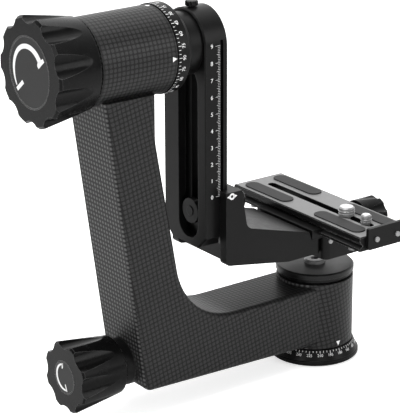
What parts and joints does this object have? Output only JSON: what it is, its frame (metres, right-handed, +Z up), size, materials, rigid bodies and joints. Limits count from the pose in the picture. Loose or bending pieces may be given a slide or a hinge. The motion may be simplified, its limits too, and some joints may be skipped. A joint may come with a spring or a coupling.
{
  "type": "gimbal tripod head",
  "caption": "Gimbal tripod head for long lenses: L-shaped carbon arm on a panning base, tilt arm with a height scale, cradle with a quick-release clamp and a lens plate.",
  "frame": {"origin": "centre of the bottom mounting face, at the mouth of the tripod thread", "axes": "+Z up along the pan axis; +X along the tilt axis from the two lock knobs towards the swing arm and the clamp knob; +Y along the lens axis, away from the end stop"},
  "size_m": [0.2536, 0.1254, 0.2466],
  "materials": {
    "carbon": "satin",
    "black_metal": "satin",
    "knob_metal": "satin",
    "grey_inlay": "satin",
    "cap_grey": "satin",
    "plate_grey": "satin",
    "silver": "satin",
    "steel": "satin",
    "bronze": "satin",
    "rubber": "matte",
    "nylon": "matte"
  },
  "bodies": {
    "base": {"base_plate": "black_metal", "thread_bushing": "steel", "pan_index_ring": "black_metal", "pan_spindle": "steel", "cap_seal": "black_metal", "pan_cap": "cap_grey", "cap_screw": "steel"},
    "yoke": {"l_body": "carbon", "pan_collar": "black_metal", "pan_bush_lower": "bronze", "pan_bush_upper": "bronze", "tilt_bush_left": "bronze", "tilt_bush_right": "bronze", "tilt_plug": "black_metal"},
    "tilt_lock": {"tilt_knob": "knob_metal", "tilt_knob_inlay": "grey_inlay", "tilt_stud": "steel"},
    "tilt_brake": {"tilt_brake_pad": "nylon"},
    "pan_lock": {"pan_knob": "knob_metal", "pan_knob_inlay": "grey_inlay", "pan_stud": "steel"},
    "pan_brake": {"pan_brake_rod": "steel"},
    "swing": {"swing_arm": "black_metal", "tilt_hub": "black_metal", "tilt_index_ring": "black_metal", "tilt_axle": "steel"},
    "top_thumb": {"thumb_screw": "black_metal"},
    "cradle": {"cradle_bracket": "black_metal", "guide_keys": "steel", "clamp_foot": "black_metal", "foot_screws": "steel", "jaw_guide_pins": "steel"},
    "height_lock": {"height_lock_knob": "knob_metal", "height_lock_bolt": "black_metal"},
    "height_nut": {"height_lock_nut": "black_metal"},
    "jaw": {"moving_jaw": "black_metal"},
    "clamp_drive": {"clamp_knob": "knob_metal", "clamp_screw": "steel"},
    "plate": {"lens_plate": "plate_grey", "rubber_strips": "rubber", "end_stop": "black_metal", "stop_screws": "steel", "safety_pins": "steel"},
    "large_washer": {"camera_washer_large": "nylon"},
    "large_screw": {"camera_screw_large": "steel"},
    "small_washer": {"camera_washer_small": "nylon"},
    "small_screw": {"camera_screw_small": "steel"}
  },
  "joints": [
    {"name": "pan", "type": "hinge", "parent": "base", "child": "yoke", "pos_m": [0, 0, 0.03], "axis": [0, 0, 1], "continuous": true},
    {"name": "pan_knob_turn", "type": "hinge", "parent": "yoke", "child": "pan_lock", "pos_m": [-0.17, 0, 0.0305], "axis": [1, 0, 0], "range_deg": [0, 90]},
    {"name": "pan_brake_slide", "type": "slide", "parent": "yoke", "child": "pan_brake", "axis": [1, 0, 0], "range_m": [0, 0.0004]},
    {"name": "tilt_knob_turn", "type": "hinge", "parent": "yoke", "child": "tilt_lock", "pos_m": [-0.187, 0, 0.2159], "axis": [1, 0, 0], "range_deg": [0, 90]},
    {"name": "tilt_brake_slide", "type": "slide", "parent": "yoke", "child": "tilt_brake", "axis": [1, 0, 0], "range_m": [0, 0.0004]},
    {"name": "tilt", "type": "hinge", "parent": "yoke", "child": "swing", "pos_m": [-0.11, 0, 0.2159], "axis": [1, 0, 0], "continuous": true},
    {"name": "top_thumb_turn", "type": "hinge", "parent": "swing", "child": "top_thumb", "pos_m": [-0.094, 0, 0.236], "axis": [0, 0, 1], "range_deg": [-360, 360]},
    {"name": "cradle_height", "type": "slide", "parent": "swing", "child": "cradle", "axis": [0, 0, 1], "range_m": [0, 0.079]},
    {"name": "height_lock_turn", "type": "hinge", "parent": "cradle", "child": "height_lock", "pos_m": [-0.065, -0.0035, 0.115], "axis": [-1, 0, 0], "range_deg": [0, 90]},
    {"name": "height_nut_slide", "type": "slide", "parent": "cradle", "child": "height_nut", "axis": [1, 0, 0], "range_m": [0, 0.00031]},
    {"name": "jaw_slide", "type": "slide", "parent": "cradle", "child": "jaw", "axis": [1, 0, 0], "range_m": [0, 0.00301]},
    {"name": "clamp_turn", "type": "hinge", "parent": "jaw", "child": "clamp_drive", "pos_m": [0.04, 0, 0.0805], "axis": [1, 0, 0], "range_deg": [0, 720]},
    {"name": "plate_slide", "type": "slide", "parent": "cradle", "child": "plate", "axis": [0, 1, 0], "range_m": [-0.009, 0.014]},
    {"name": "large_washer_slide", "type": "slide", "parent": "plate", "child": "large_washer", "axis": [0, 1, 0], "range_m": [-0.002, 0.06]},
    {"name": "large_screw_turn", "type": "hinge", "parent": "large_washer", "child": "large_screw", "pos_m": [0, -0.0293, 0.095], "axis": [0, 0, 1], "continuous": true},
    {"name": "small_washer_slide", "type": "slide", "parent": "plate", "child": "small_washer", "axis": [0, 1, 0], "range_m": [0, 0.0015]},
    {"name": "small_screw_turn", "type": "hinge", "parent": "small_washer", "child": "small_screw", "pos_m": [0, -0.0473, 0.095], "axis": [0, 0, 1], "continuous": true}
  ],
  "couplings": [
    {"joint": "pan_brake_slide", "follows": "pan_knob_turn", "m_per_rad": 0.00023873},
    {"joint": "tilt_brake_slide", "follows": "tilt_knob_turn", "m_per_rad": 0.00023873},
    {"joint": "height_nut_slide", "follows": "height_lock_turn", "m_per_rad": 0.00019},
    {"joint": "jaw_slide", "follows": "clamp_turn", "m_per_rad": 0.00023873}
  ]
}
